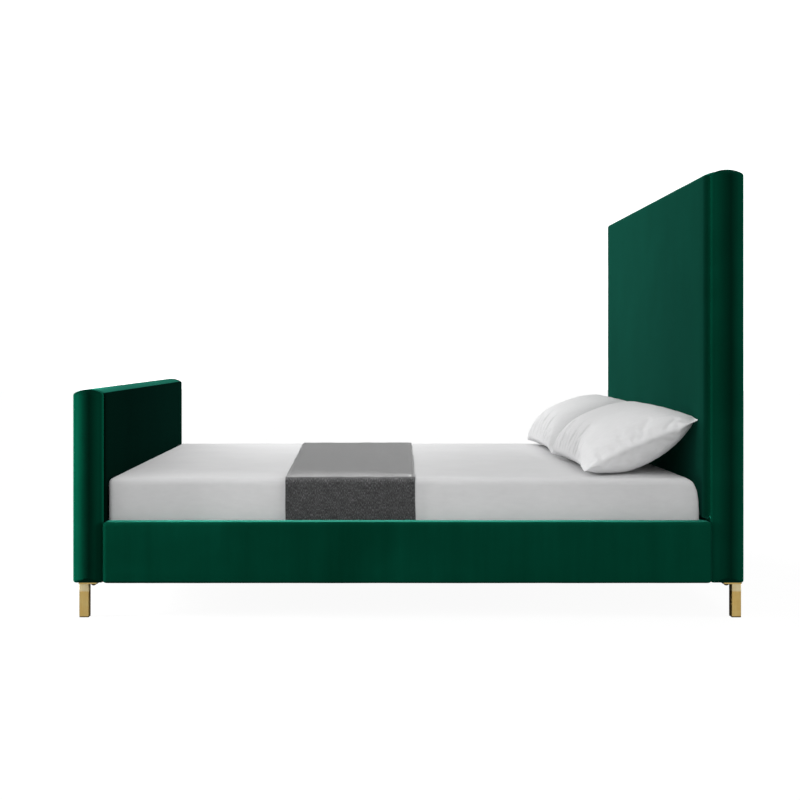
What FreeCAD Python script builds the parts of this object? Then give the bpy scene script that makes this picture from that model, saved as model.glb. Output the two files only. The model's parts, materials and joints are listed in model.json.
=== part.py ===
"""Queen-size upholstered bed with a tall headboard, a low footboard and a dressed mattress.

Frame, in millimetres: origin on the floor at the centre of the bed's footprint, +X towards the
headboard, +Y towards the left side of someone who looks from the foot to the head, +Z up.
"""
import FreeCAD, Part

import math
import os

from FreeCAD import Vector

# ---- driving dimensions -------------------------------------------------------------------------

OVERALL_LENGTH = 2274.0        # outside of the footboard to the back of the headboard
OVERALL_WIDTH = 1660.0
HEADBOARD_HEIGHT = 1518.0      # floor to the top of the crown
FOOTBOARD_HEIGHT = 773.0
RAIL_TOP = 325.0
UNDERSIDE = 118.0              # floor to the underside of the boards and rails

HEADBOARD_DEPTH = 114.0        # thickness of the headboard's end face
FOOTBOARD_DEPTH = 103.0
HEAD_PAD_PROUD = 14.0          # how far the front pad stands in front of the end faces
HEAD_PAD_START = 331.0         # the pad begins just above the side rails
CROWN = 15.0                   # rise of the arched top edges
COVER = 2.0                    # velvet with its lining
END_PUFF = 12.0                # padded depth of each sewn-on end panel
EDGE_RADIUS = 11.0             # soft edges of the upholstery

RAIL_DEPTH = 60.0              # side rail, cover to cover
RAIL_GAP = 0.5                 # each rail end to the face of its board
RAIL_BOARD = 28.0              # timber inside the side rail

MATTRESS_LENGTH = 2032.0
MATTRESS_WIDTH = 1524.0
MATTRESS_HEIGHT = 233.0
MATTRESS_TOP = 466.0
MATTRESS_EDGE = 26.0
MATTRESS_HEAD_EDGE = 45.0      # softer edge at the head end
SHEET = 1.5                    # fitted sheet
SOFT_GAP = 0.5                 # clearance around pieces that lift off

FRAME_TIMBER = 60.0            # width of the upright timbers inside the boards
PLANK = 45.0                   # bolting plank at the foot of each board
PLANK_TOP = 330.0
HEADBOARD_PANEL = 9.0          # plywood behind the foam
FOOTBOARD_PANEL = 6.0
HEADBOARD_TOP_FOAM = 44.0      # padding above the timber
FOOTBOARD_TOP_FOAM = 40.0
FOOTBOARD_OUT_FOAM = 22.0      # padding on the footboard's outer face
TOP_TIMBER = 80.0              # height of each board's top rail
BOTTOM_TIMBER = (230.0, 310.0) # lower and upper edge of each board's bottom rail

WINDOW_SIDE = 60.0             # margins of the opening in the wrap behind the headboard
WINDOW_TOP = 96.0
WINDOW_BOTTOM = 180.0          # height of its lower edge
CLOTH_SIDE = 25.0              # margins of the dust cloth that closes it
CLOTH_TOP = 60.0
CLOTH_BOTTOM = 145.0

SLAT_COUNT = 14
SLAT_WIDTH = 75.0
SLAT_THICK = 18.0
SLAT_PITCH = 150.0
SLAT_END_GAP = 4.0             # slat ends to the side rails
SLAT_EASE = 3.0
CLEAT_WIDTH = 40.0
CLEAT_HEIGHT = 30.0
CLEAT_END_GAP = 6.0
CLEAT_SCREW_COUNT = 7
CLEAT_SCREW_PITCH = 300.0
BEAM_WIDTH = 40.0
BEAM_HEIGHT = 70.0
HANGER_STEEL = 3.0
HANGER_CHEEK = 0.77            # height of the saddle's cheeks, as a share of the beam's
HANGER_DROP = 6.0              # plate below the beam and below the slats
HANGER_REACH = 50.0            # how far the saddle reaches under the beam
HANGER_FLANGE = 25.0           # width of its flange beside the beam
HANGER_SCREW_OUT = 0.45 * HANGER_FLANGE
HANGER_SCREW_LOW = 12.0        # lower screw above the beam's base
HANGER_SCREW_HIGH = 24.0       # upper screw below the slats
STRAP_WIDTH = 25.0
STRAP_THICK = 1.2
STRAP_Y = 390.0                # inner edge of the strap that ties the slats together

LEG_SIDE = 32.0                # square brass leg
LEG_WALL = 1.5
LEG_CAP = 4.0                  # solid top of the tube, welded to the plate
LEG_CORNER = 2.5
LEG_INSET_FOOT = 20.0          # leg to the outside of the footboard
LEG_INSET_HEAD = 9.5           # leg to the back of the headboard
LEG_INSET_SIDE = 20.0
LEG_PLATE = 4.5
LEG_PLATE_CORNER = 8.0
LEG_PLATE_MARGIN = 3.0         # plate beyond the leg on its outer sides
LEG_PLATE_REACH = (46.0, 47.0) # plate from the leg's middle inwards, along X and along Y
NUT_BESIDE = 30.0              # dome nuts under the leg plates: one beside the leg, two behind it
NUT_BEHIND = 35.0
NUT_BEHIND_X = (-6.0, 25.0)
NUT_ACROSS = 19.0
NUT_HEIGHT = 2.5
DOME_RADIUS = 11.0
DOME_HEIGHT = 4.5
WASHER = 1.5
WASHER_RADIUS = 11.0
STUD_ABOVE = 36.0              # leg studs, above the plate's underside
GLIDE = 2.0                    # height of the plastic glide under each leg
GLIDE_PLUG = 16.0              # height its plug reaches inside the tube

CENTRE_LEG_X = (-350.0, 350.0)
CENTRE_LEG_SIDE = 45.0
CENTRE_LEG_FOOT = 34.0         # underside of the wooden centre leg
PAD_RADIUS = 20.0
PAD_EDGE = 2.0
PAD_BOTTOM = 2.0               # levelling pads stand backed off this far above the floor
STUD_RADIUS = 4.0
STUD_CLEARANCE = 0.1
STUD_LENGTH = 75.0
PAD_HEIGHT = 7.0
PAD_FLOOR = 3.0                # plastic under the stud's button
BUTTON_RADIUS = 6.0
BUTTON_HEIGHT = 3.5
BUTTON_GAP = 0.3
COLLAR_GAP = 3.0               # spanner collar above the pad
COLLAR_RADIUS = 8.0
COLLAR_HEIGHT = 6.0
STUD_BORE_TOP = 100.0          # height where the bore for the stud ends
DOWEL_RADIUS = 6.0
DOWEL_LENGTH = 60.0

THROW_START = -450.0           # throw's edge towards the foot
THROW_END = 75.0
THROW_THICK = 5.0
THROW_HEM = 262.0              # height of the tucked-in hems

PILLOW_LENGTH = 700.0          # across the bed
PILLOW_DEPTH = 430.0           # along its slope
PILLOW_TILT = 20.6             # degrees, back edge raised against the headboard
PILLOW_CENTRE_Z = 585.0
PILLOW_CENTRES_Y = {"right": -366.0, "left": 362.0}
PILLOW_ABOVE = 100.0           # fullness above and below the seam
PILLOW_BELOW = 103.0
PILLOW_TOP_SHARE = (0.53, 0.70)    # flattest part above and below, as shares of depth and length
PILLOW_BASE_SHARE = (0.28, 0.64)

BOLT_RADIUS = 4.0              # M8
BOLT_HEAD_RADIUS = 7.0
BOLT_HEAD = 5.0
TEE_FLANGE_RADIUS = 10.0
TEE_FLANGE = 1.5
TEE_BARREL_RADIUS = 5.5
TEE_BARREL = 12.0
SCREW_RADIUS = 2.25
SCREW_HEAD_RADIUS = 4.2
SCREW_HEAD = 2.4
BRACKET_SCREW = 26.0           # lengths of the countersunk screws
CLEAT_SCREW = 62.0
SLAT_SCREW = 40.0
HANGER_SCREW = 38.0

# ---- places that follow from them ---------------------------------------------------------------

FOOT_OUT = -OVERALL_LENGTH / 2
FOOT_IN = FOOT_OUT + FOOTBOARD_DEPTH
HEAD_BACK = OVERALL_LENGTH / 2
HEAD_SEAM = HEAD_BACK - HEADBOARD_DEPTH
HEAD_FACE = HEAD_SEAM - HEAD_PAD_PROUD
HALF_WIDTH = OVERALL_WIDTH / 2
MAIN_HALF = HALF_WIDTH - END_PUFF - COVER      # half width of each board's main wrap
CORE_HALF = HALF_WIDTH - 18.0                  # half width of the timber inside the boards
RAIL_IN = HALF_WIDTH - RAIL_DEPTH
MATTRESS_FOOT = FOOT_IN + 5.0
MATTRESS_BASE = MATTRESS_TOP - MATTRESS_HEIGHT
SLAT_TOP = MATTRESS_BASE - SOFT_GAP
SLAT_BASE = SLAT_TOP - SLAT_THICK
BEAM_BASE = SLAT_BASE - BEAM_HEIGHT
LONG = 4000.0                                  # longer than anything, for cutting

BRACKET_BOTTOM = 126.0
BRACKET_TOP = 184.0
BRACKET_REACH = 80.0
BRACKET_STEEL = 4.0
BRACKET_BOLT_Y = 715.0
BRACKET_BOLT_Z = (141.0, 169.0)
BRACKET_SCREWS = ((28.0, 140.0), (46.0, 170.0), (66.0, 140.0))   # from the board's face, and height
BRACKET_EASE = 1.2

SIDES = {"left": 1, "right": -1}


# ---- helpers ------------------------------------------------------------------------------------

def box(x0, x1, y0, y1, z0, z1):
    return Part.makeBox(x1 - x0, y1 - y0, z1 - z0, Vector(x0, y0, z0))


def rod(radius, start, direction, length):
    return Part.makeCylinder(radius, length, Vector(*start), Vector(*direction))


def mirrored(shape):
    """The same piece on the other side of the bed."""
    return shape.mirror(Vector(0, 0, 0), Vector(0, 1, 0))


def on_side(shape, side):
    """A piece drawn at the left (+Y), placed at the side named."""
    return shape if SIDES[side] > 0 else mirrored(shape)


def both_sides(shape):
    return [shape, mirrored(shape)]


def group(shapes):
    return Part.makeCompound(list(shapes))


def prism(corners, axis):
    """A closed outline, swept along axis."""
    return Part.Face(Part.makePolygon([Vector(*c) for c in corners + corners[:1]])).extrude(Vector(*axis))


def hexagon(x, y, z, radius, height):
    """A hexagonal prism; radius reaches its corners."""
    turns = [math.radians(60 * k) for k in range(6)]
    corners = [(x + radius * math.cos(t), y + radius * math.sin(t), z) for t in turns]
    return prism(corners, (0, 0, height))


def upright_edges(shape):
    return [e for e in shape.Edges if abs(e.tangentAt(e.FirstParameter).z) > 0.9]


def edges_where(shape, test):
    """Edges whose ends all pass the test."""
    return [e for e in shape.Edges if all(test(v.Point) for v in e.Vertexes)]


def rounded(shape, radius, test):
    return shape.makeFillet(radius, edges_where(shape, test))


def near(value, place):
    return abs(value - place) < 0.01


def board_block(x0, x1, half, top, radius, bottom=UNDERSIDE):
    """An upholstered board's outline with its arched top, between Y = -half and +half."""
    shoulder = top - CROWN
    low_in = Vector(x0, -half, bottom)
    low_out = Vector(x1, -half, bottom)
    high_in = Vector(x0, -half, shoulder)
    high_out = Vector(x1, -half, shoulder)
    apex = Vector((x0 + x1) / 2, -half, top)
    outline = Part.Wire([
        Part.makeLine(low_in, low_out),
        Part.makeLine(low_out, high_out),
        Part.Arc(high_out, apex, high_in).toShape(),
        Part.makeLine(high_in, low_in),
    ])
    block = Part.Face(outline).extrude(Vector(0, 2 * half, 0))
    return rounded(block, radius, lambda p: near(p.z, shoulder))


def export(name, shape):
    solids = shape.Solids
    bad = [s for s in solids if not s.isValid() or s.Volume <= 0]
    if not solids or bad:
        raise RuntimeError("%s: %d solids, %d of them bad" % (name, len(solids), len(bad)))
    shape.exportStep("parts/%s.step" % name)
    print("%-32s %3d solids %12.0f mm3" % (name, len(solids), shape.Volume))


# ---- fasteners, drawn once because they also cut their own holes ---------------------------------

def bracket_bolt(z, face, inward):
    """An M8 bolt through a rail bracket and the bolting plank; inward is the way its head faces."""
    start = (face + inward * BRACKET_STEEL, BRACKET_BOLT_Y, z)
    head = rod(BOLT_HEAD_RADIUS, start, (inward, 0, 0), BOLT_HEAD)
    shank = rod(BOLT_RADIUS, start, (-inward, 0, 0), BRACKET_STEEL + COVER + PLANK)
    return head.fuse(shank).removeSplitter()


def tee_nut(z, plank_back, inward):
    """The tee nut pressed into the far side of the plank, around the bolt."""
    def along(radius, ahead, behind):
        start = (plank_back + inward * ahead, BRACKET_BOLT_Y, z)
        return rod(radius, start, (-inward, 0, 0), ahead + behind)

    flange = along(TEE_FLANGE_RADIUS, 0, TEE_FLANGE)
    barrel = along(TEE_BARREL_RADIUS, TEE_BARREL, 0)
    hole = along(BOLT_RADIUS, TEE_BARREL + 1, TEE_FLANGE + 1)
    return flange.fuse(barrel).cut(hole).removeSplitter()


def screw(start, direction, length):
    """A countersunk screw; start is the middle of its flush head."""
    head = Part.makeCone(SCREW_HEAD_RADIUS, SCREW_RADIUS, SCREW_HEAD, Vector(*start), Vector(*direction))
    shank = rod(SCREW_RADIUS, start, direction, length)
    return head.fuse(shank).removeSplitter()


def leg_places():
    """Each brass leg's name, middle and the way inwards along X."""
    foot_x = FOOT_OUT + LEG_INSET_FOOT + LEG_SIDE / 2
    head_x = HEAD_BACK - LEG_INSET_HEAD - LEG_SIDE / 2
    y = HALF_WIDTH - LEG_INSET_SIDE - LEG_SIDE / 2
    return {"foot": (foot_x, y, 1), "head": (head_x, y, -1)}


def leg_nut_places(x, y, inward):
    """Where the three dome nuts of a leg plate stand: one beside the leg and two behind it."""
    behind = [(x + inward * along, y - NUT_BEHIND) for along in NUT_BEHIND_X]
    return [(x + inward * NUT_BESIDE, y)] + behind


def dome_nut(x, y):
    """A stud up into the board with its washer and low dome nut."""
    plate_under = UNDERSIDE - LEG_PLATE
    nut_low = plate_under - WASHER - NUT_HEIGHT
    dome_low = nut_low - DOME_HEIGHT
    washer = rod(WASHER_RADIUS, (x, y, plate_under - WASHER), (0, 0, 1), WASHER)
    nut = hexagon(x, y, nut_low, NUT_ACROSS / 2, NUT_HEIGHT)
    dome = Part.makeSphere(DOME_RADIUS, Vector(x, y, dome_low + DOME_RADIUS))
    dome = dome.common(rod(DOME_RADIUS, (x, y, dome_low), (0, 0, 1), DOME_HEIGHT))
    stud = rod(BOLT_RADIUS, (x, y, nut_low), (0, 0, 1), plate_under + STUD_ABOVE - nut_low)
    return washer.multiFuse([nut, dome, stud]).removeSplitter()


def all_bracket_bolts():
    """Bolts at the left side: both boards, both heights."""
    return [bracket_bolt(z, face, inward) for face, inward in ((FOOT_IN, 1), (HEAD_SEAM, -1))
            for z in BRACKET_BOLT_Z]


def all_tee_nuts():
    foot_back = FOOT_IN - COVER - PLANK
    head_back = HEAD_SEAM + COVER + PLANK
    return [tee_nut(z, back, inward) for back, inward in ((foot_back, 1), (head_back, -1))
            for z in BRACKET_BOLT_Z]


def all_dome_nuts():
    return [dome_nut(*place) for leg in leg_places().values() for place in leg_nut_places(*leg)]


def cut_with(shape, tools):
    """Takes away the tools' material on both sides of the bed."""
    return shape.cut([t for tool in tools for t in both_sides(tool)])


# ---- headboard and footboard --------------------------------------------------------------------

def headboard_outline(inset, half):
    """The headboard's upholstered outline, inset all round, with the pad's step above the rails."""
    block = board_block(HEAD_FACE + inset, HEAD_BACK - COVER - inset, half, HEADBOARD_HEIGHT - inset,
                        EDGE_RADIUS - inset, UNDERSIDE + inset)
    step = box(0, HEAD_SEAM + inset, -HALF_WIDTH, HALF_WIDTH, 0, HEAD_PAD_START + inset)
    return block.cut(step)


def footboard_outline(inset, half):
    return board_block(FOOT_OUT + inset, FOOT_IN - inset, half, FOOTBOARD_HEIGHT - inset,
                       EDGE_RADIUS - inset, UNDERSIDE + inset)


def end_block(x0, x1, top, inset):
    """The sewn-on end panels' outline, as one block from end to end of the board."""
    return board_block(x0 + inset, x1 - inset, HALF_WIDTH - inset, top - inset, EDGE_RADIUS - inset,
                       UNDERSIDE + inset)


def middle(half):
    """Everything between Y = -half and +half."""
    return box(-LONG, LONG, -half, half, -LONG, LONG)


def board_skins(name, outline, x0, x1, top):
    """The main wrap and the two end panels of a board's cover."""
    wrap = outline(0, MAIN_HALF).cut(outline(COVER, MAIN_HALF + 5))
    ends = end_block(x0, x1, top, 0).cut(end_block(x0, x1, top, COVER)).cut(middle(MAIN_HALF))
    wrap = cut_with(wrap, all_bracket_bolts() + all_hanger_screws() + all_dome_nuts())
    ends = cut_with(ends, all_dome_nuts())
    left, right = sorted(ends.Solids, key=lambda s: -s.CenterOfMass.y)
    return {name + "_cover": wrap, name + "_end_cover_left": left, name + "_end_cover_right": right}


def board_foam(outline, x0, x1, top, core):
    """The foam that fills the skins around the timber core."""
    main = outline(COVER, MAIN_HALF)
    ends = end_block(x0, x1, top, COVER).cut(middle(MAIN_HALF))
    return cut_with(main.fuse(ends).removeSplitter().cut(core), all_dome_nuts())


def board_timber(name, x_plank, x_panel, x_frame, top):
    """Stiles, cross rails, face panel and bolting plank; x_ pairs run from low to high."""
    pieces = {}
    rail_heights = {"top": (top - TOP_TIMBER, top), "bottom": BOTTOM_TIMBER}
    stile_in = CORE_HALF - FRAME_TIMBER
    stile = box(*x_frame, stile_in, CORE_HALF, UNDERSIDE + COVER, top)
    for side in SIDES:
        pieces["%s_stile_%s" % (name, side)] = on_side(stile, side)
    for rail, (z0, z1) in rail_heights.items():
        pieces["%s_%s_rail" % (name, rail)] = box(*x_frame, -stile_in, stile_in, z0, z1)
    pieces[name + "_face_panel"] = box(*x_panel, -CORE_HALF, CORE_HALF, PLANK_TOP, top)
    pieces[name + "_bolting_plank"] = box(*x_plank, -CORE_HALF, CORE_HALF, UNDERSIDE + COVER, PLANK_TOP)
    return pieces


def headboard():
    back = HEAD_BACK - 2 * COVER
    core_top = HEADBOARD_HEIGHT - HEADBOARD_TOP_FOAM
    plank_back = HEAD_SEAM + COVER + PLANK
    panel_front = plank_back - HEADBOARD_PANEL
    pieces = board_skins("headboard", headboard_outline, HEAD_SEAM, HEAD_BACK - COVER, HEADBOARD_HEIGHT)
    window_half = MAIN_HALF - WINDOW_SIDE
    window = box(back - 1, HEAD_BACK, -window_half, window_half, WINDOW_BOTTOM, HEADBOARD_HEIGHT - WINDOW_TOP)
    pieces["headboard_cover"] = pieces["headboard_cover"].cut(window)
    pieces.update(board_timber(
        "headboard",
        x_plank=(HEAD_SEAM + COVER, plank_back),
        x_panel=(panel_front, plank_back),
        x_frame=(plank_back, back),
        top=core_top,
    ))
    core = box(panel_front, HEAD_BACK, -CORE_HALF, CORE_HALF, 0, core_top)
    plank_space = box(0, panel_front, -CORE_HALF, CORE_HALF, 0, PLANK_TOP)
    pieces["headboard_foam"] = board_foam(headboard_outline, HEAD_SEAM, HEAD_BACK - COVER,
                                          HEADBOARD_HEIGHT, core.fuse(plank_space))
    cloth_half = MAIN_HALF - CLOTH_SIDE
    pieces["headboard_back_cloth"] = box(HEAD_BACK - COVER, HEAD_BACK, -cloth_half, cloth_half,
                                         CLOTH_BOTTOM, HEADBOARD_HEIGHT - CLOTH_TOP)
    return pieces


def footboard():
    plank_back = FOOT_IN - COVER - PLANK
    frame_out = FOOT_OUT + COVER + FOOTBOARD_OUT_FOAM
    core_top = FOOTBOARD_HEIGHT - FOOTBOARD_TOP_FOAM
    pieces = board_skins("footboard", footboard_outline, FOOT_OUT, FOOT_IN, FOOTBOARD_HEIGHT)
    pieces.update(board_timber(
        "footboard",
        x_plank=(plank_back, FOOT_IN - COVER),
        x_panel=(plank_back, plank_back + FOOTBOARD_PANEL),
        x_frame=(frame_out, plank_back),
        top=core_top,
    ))
    core = box(frame_out, plank_back + FOOTBOARD_PANEL, -CORE_HALF, CORE_HALF, 0, core_top)
    plank_space = box(plank_back, 0, -CORE_HALF, CORE_HALF, 0, PLANK_TOP)
    pieces["footboard_foam"] = board_foam(footboard_outline, FOOT_OUT, FOOT_IN, FOOTBOARD_HEIGHT,
                                          core.fuse(plank_space))
    return pieces


def bored_timber(pieces):
    """Bores the planks, stiles and rails for the bolts, tee nuts and leg studs."""
    tools = all_bracket_bolts() + all_tee_nuts() + all_hanger_screws() + all_dome_nuts()
    for name in list(pieces):
        if "plank" in name or "stile" in name:
            pieces[name] = cut_with(pieces[name], tools)
    return pieces


# ---- side rails ---------------------------------------------------------------------------------

def rail_block(inset):
    """The padded rail's outline at the left side, inset all round."""
    x0 = FOOT_IN + RAIL_GAP + inset
    x1 = HEAD_SEAM - RAIL_GAP - inset
    block = box(x0, x1, RAIL_IN + inset, HALF_WIDTH - inset, UNDERSIDE + inset, RAIL_TOP - inset)
    return rounded(block, EDGE_RADIUS - inset, lambda p: near(p.y, HALF_WIDTH - inset))


def side_rails():
    inner = rail_block(COVER)
    board_out = RAIL_IN + COVER + RAIL_BOARD
    board = box(FOOT_IN + RAIL_GAP + COVER, HEAD_SEAM - RAIL_GAP - COVER, RAIL_IN + COVER, board_out,
                UNDERSIDE + COVER, RAIL_TOP - 10)
    parts = {
        "side_rail_board": board,
        "side_rail_foam": inner.cut(board),
        "side_rail_cover": rail_block(0).cut(inner),
    }
    screws = bracket_screws() + cleat_screws()
    parts["side_rail_board"] = parts["side_rail_board"].cut(screws)
    parts["side_rail_cover"] = parts["side_rail_cover"].cut(screws)
    return {"%s_%s" % (name, side): on_side(shape, side) for name, shape in parts.items() for side in SIDES}


def bracket(face, inward):
    """An angle plate that bolts the rail to a board; face is the board's face."""
    x0, x1 = sorted((face, face + inward * BRACKET_STEEL))
    on_board = box(x0, x1, RAIL_IN - BRACKET_REACH, RAIL_IN, BRACKET_BOTTOM, BRACKET_TOP)
    x0, x1 = sorted((face, face + inward * BRACKET_REACH))
    on_rail = box(x0, x1, RAIL_IN - BRACKET_STEEL, RAIL_IN, BRACKET_BOTTOM, BRACKET_TOP)
    plate = on_board.fuse(on_rail).removeSplitter()

    def at_tip(p):
        return near(p.y, RAIL_IN - BRACKET_REACH) or near(p.x, face + inward * BRACKET_REACH)

    return rounded(plate, BRACKET_EASE, at_tip)


def bracket_screws():
    """Three screws through each bracket into the rail, at the left side."""
    places = [(face + inward * step, z) for face, inward in ((FOOT_IN, 1), (HEAD_SEAM, -1))
              for step, z in BRACKET_SCREWS]
    return [screw((x, RAIL_IN - BRACKET_STEEL, z), (0, 1, 0), BRACKET_SCREW) for x, z in places]


def cleat_block():
    x0 = FOOT_IN + CLEAT_END_GAP
    x1 = HEAD_SEAM - CLEAT_END_GAP
    return box(x0, x1, RAIL_IN - CLEAT_WIDTH, RAIL_IN, SLAT_BASE - CLEAT_HEIGHT, SLAT_BASE)


def cleat_screws():
    """Screws through the cleat into the rail, at the left side."""
    z = SLAT_BASE - CLEAT_HEIGHT / 2
    first = -CLEAT_SCREW_PITCH * (CLEAT_SCREW_COUNT - 1) / 2
    xs = [first + k * CLEAT_SCREW_PITCH for k in range(CLEAT_SCREW_COUNT)]
    return [screw((x, RAIL_IN - CLEAT_WIDTH, z), (0, 1, 0), CLEAT_SCREW) for x in xs]


def rail_hardware():
    pieces = {}
    for end, face, inward in (("foot", FOOT_IN, 1), ("head", HEAD_SEAM, -1)):
        plate = bracket(face, inward).cut(all_bracket_bolts() + bracket_screws())
        for side in SIDES:
            pieces["rail_bracket_%s_%s" % (end, side)] = on_side(plate, side)
    cleat = cleat_block().cut(cleat_screws() + slat_screws())
    for side in SIDES:
        pieces["slat_cleat_" + side] = on_side(cleat, side)
    pieces["bracket_bolts"] = group(b for bolt in all_bracket_bolts() for b in both_sides(bolt))
    pieces["tee_nuts"] = group(n for nut in all_tee_nuts() for n in both_sides(nut))
    return pieces


# ---- slats and centre support -------------------------------------------------------------------

def slat_middles():
    middle_x = (FOOT_IN + HEAD_SEAM) / 2
    first = middle_x - SLAT_PITCH * (SLAT_COUNT - 1) / 2
    return [first + k * SLAT_PITCH for k in range(SLAT_COUNT)]


def slat_screws():
    """One screw at the left end of each slat, into its cleat."""
    y = RAIL_IN - CLEAT_WIDTH / 2
    return [screw((x, y, SLAT_TOP), (0, 0, -1), SLAT_SCREW) for x in slat_middles()]


def slats():
    half = RAIL_IN - SLAT_END_GAP
    blank = [box(x - SLAT_WIDTH / 2, x + SLAT_WIDTH / 2, -half, half, SLAT_BASE, SLAT_TOP)
             for x in slat_middles()]
    eased = [rounded(b, SLAT_EASE, lambda p: near(p.z, SLAT_TOP)) for b in blank]
    drilled = [cut_with(b, [s]) for b, s in zip(eased, slat_screws())]
    strap_end = SLAT_WIDTH * 0.4
    strap = box(slat_middles()[0] - strap_end, slat_middles()[-1] + strap_end, STRAP_Y, STRAP_Y + STRAP_WIDTH,
                SLAT_BASE - STRAP_THICK, SLAT_BASE)
    return {
        "slats": group(drilled),
        "slat_straps": group(both_sides(strap)),
    }


def wood_screws():
    """Every countersunk screw of the frame: brackets, cleats, slats and beam hangers."""
    screws = bracket_screws() + cleat_screws() + slat_screws() + all_hanger_screws()
    return {"wood_screws": group(s for one in screws for s in both_sides(one))}


def beam_hanger(face, inward):
    """The steel saddle that carries one end of the centre beam: a U under the beam on a flanged plate."""
    half = BEAM_WIDTH / 2
    outer_half = half + HANGER_STEEL
    low = BEAM_BASE - HANGER_STEEL
    x0, x1 = sorted((face, face + inward * HANGER_STEEL))
    plate = box(x0, x1, -half - HANGER_FLANGE, half + HANGER_FLANGE,
                BEAM_BASE - HANGER_DROP, SLAT_BASE - HANGER_DROP)
    x0, x1 = sorted((face, face + inward * HANGER_REACH))
    cheek_top = BEAM_BASE + BEAM_HEIGHT * HANGER_CHEEK
    u_outside = box(x0, x1, -outer_half, outer_half, low, cheek_top)
    u_inside = box(x0, x1, -half, half, BEAM_BASE, cheek_top)
    saddle = plate.fuse(u_outside.cut(u_inside)).removeSplitter()
    return cut_with(saddle, hanger_screws(face, inward))


def hanger_screws(face, inward):
    """Two screws in the left flange of a beam hanger."""
    y = BEAM_WIDTH / 2 + HANGER_STEEL + HANGER_SCREW_OUT
    heights = (BEAM_BASE + HANGER_SCREW_LOW, SLAT_BASE - HANGER_SCREW_HIGH)
    return [screw((face + inward * HANGER_STEEL, y, z), (-inward, 0, 0), HANGER_SCREW) for z in heights]


def all_hanger_screws():
    return hanger_screws(FOOT_IN, 1) + hanger_screws(HEAD_SEAM, -1)


def centre_support():
    ends = (("foot", FOOT_IN, 1), ("head", HEAD_SEAM, -1))
    half = BEAM_WIDTH / 2
    beam = box(FOOT_IN + HANGER_STEEL, HEAD_SEAM - HANGER_STEEL, -half, half, BEAM_BASE, SLAT_BASE)
    dowels = [rod(DOWEL_RADIUS, (x, 0, BEAM_BASE - DOWEL_LENGTH / 2), (0, 0, 1), DOWEL_LENGTH)
              for x in CENTRE_LEG_X]
    pieces = {"centre_beam": beam.cut(dowels)}
    for end, face, inward in ends:
        pieces["beam_hanger_" + end] = beam_hanger(face, inward)
    pieces["centre_leg_dowels"] = group(dowels)
    leg_half = CENTRE_LEG_SIDE / 2
    for end, x in zip(("foot", "head"), CENTRE_LEG_X):
        leg = box(x - leg_half, x + leg_half, -leg_half, leg_half, CENTRE_LEG_FOOT, BEAM_BASE)
        leg = rounded(leg, 3.0, lambda p: near(p.z, CENTRE_LEG_FOOT))
        bore = rod(STUD_RADIUS + STUD_CLEARANCE, (x, 0, 0), (0, 0, 1), STUD_BORE_TOP)
        pieces["centre_leg_" + end] = leg.cut(bore).cut(dowels)
    return pieces


def levellers():
    """Swivel feet under the centre legs: a pad, and a threaded stud that turns in its socket."""
    pieces = {}
    pad_top = PAD_BOTTOM + PAD_HEIGHT
    socket = PAD_BOTTOM + PAD_FLOOR
    stud_foot = socket + BUTTON_GAP
    for end, x in zip(("foot", "head"), CENTRE_LEG_X):
        pad = rod(PAD_RADIUS, (x, 0, PAD_BOTTOM), (0, 0, 1), PAD_HEIGHT)
        pad = rounded(pad, PAD_EDGE, lambda p: near(p.z, pad_top))
        pad = pad.cut(rod(BUTTON_RADIUS + STUD_CLEARANCE, (x, 0, socket), (0, 0, 1), PAD_HEIGHT))
        button = rod(BUTTON_RADIUS, (x, 0, stud_foot), (0, 0, 1), BUTTON_HEIGHT)
        collar = hexagon(x, 0, pad_top + COLLAR_GAP, COLLAR_RADIUS, COLLAR_HEIGHT)
        stud = rod(STUD_RADIUS, (x, 0, stud_foot), (0, 0, 1), STUD_LENGTH)
        pieces["levelling_pad_" + end] = pad
        pieces["levelling_stud_" + end] = button.multiFuse([collar, stud]).removeSplitter()
    return pieces


# ---- brass legs ---------------------------------------------------------------------------------

def brass_leg(x, y):
    half = LEG_SIDE / 2
    top = UNDERSIDE - LEG_PLATE
    outer = box(x - half, x + half, y - half, y + half, GLIDE, top)
    outer = outer.makeFillet(LEG_CORNER, upright_edges(outer))
    inner_half = half - LEG_WALL
    hollow = box(x - inner_half, x + inner_half, y - inner_half, y + inner_half, 0, top - LEG_CAP)
    return outer.cut(hollow)


def leg_plate(x, y, inward):
    """The plate on the underside, with rounded corners."""
    out_x = x - inward * (LEG_SIDE / 2 + LEG_PLATE_MARGIN)
    in_x = x + inward * LEG_PLATE_REACH[0]
    out_y = y + LEG_SIDE / 2 + LEG_PLATE_MARGIN
    in_y = y - LEG_PLATE_REACH[1]
    x0, x1 = sorted((out_x, in_x))
    plate = box(x0, x1, in_y, out_y, UNDERSIDE - LEG_PLATE, UNDERSIDE)
    plate = plate.makeFillet(LEG_PLATE_CORNER, upright_edges(plate))
    return plate.cut([dome_nut(*p) for p in leg_nut_places(x, y, inward)])


def glide(x, y):
    """The plastic glide: a foot under the tube and a plug inside it."""
    half = LEG_SIDE / 2
    foot = box(x - half, x + half, y - half, y + half, 0, GLIDE)
    foot = foot.makeFillet(LEG_CORNER, upright_edges(foot))
    inner = half - LEG_WALL
    return foot.fuse(box(x - inner, x + inner, y - inner, y + inner, GLIDE, GLIDE_PLUG)).removeSplitter()


def legs():
    pieces = {}
    plates = []
    glides = []
    for end, (x, y, inward) in leg_places().items():
        for side in SIDES:
            pieces["leg_%s_%s" % (end, side)] = on_side(brass_leg(x, y), side)
        plates += both_sides(leg_plate(x, y, inward))
        glides += both_sides(glide(x, y))
    pieces["leg_plates"] = group(plates)
    pieces["leg_glides"] = group(glides)
    pieces["leg_dome_nuts"] = group(n for nut in all_dome_nuts() for n in both_sides(nut))
    return pieces


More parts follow.
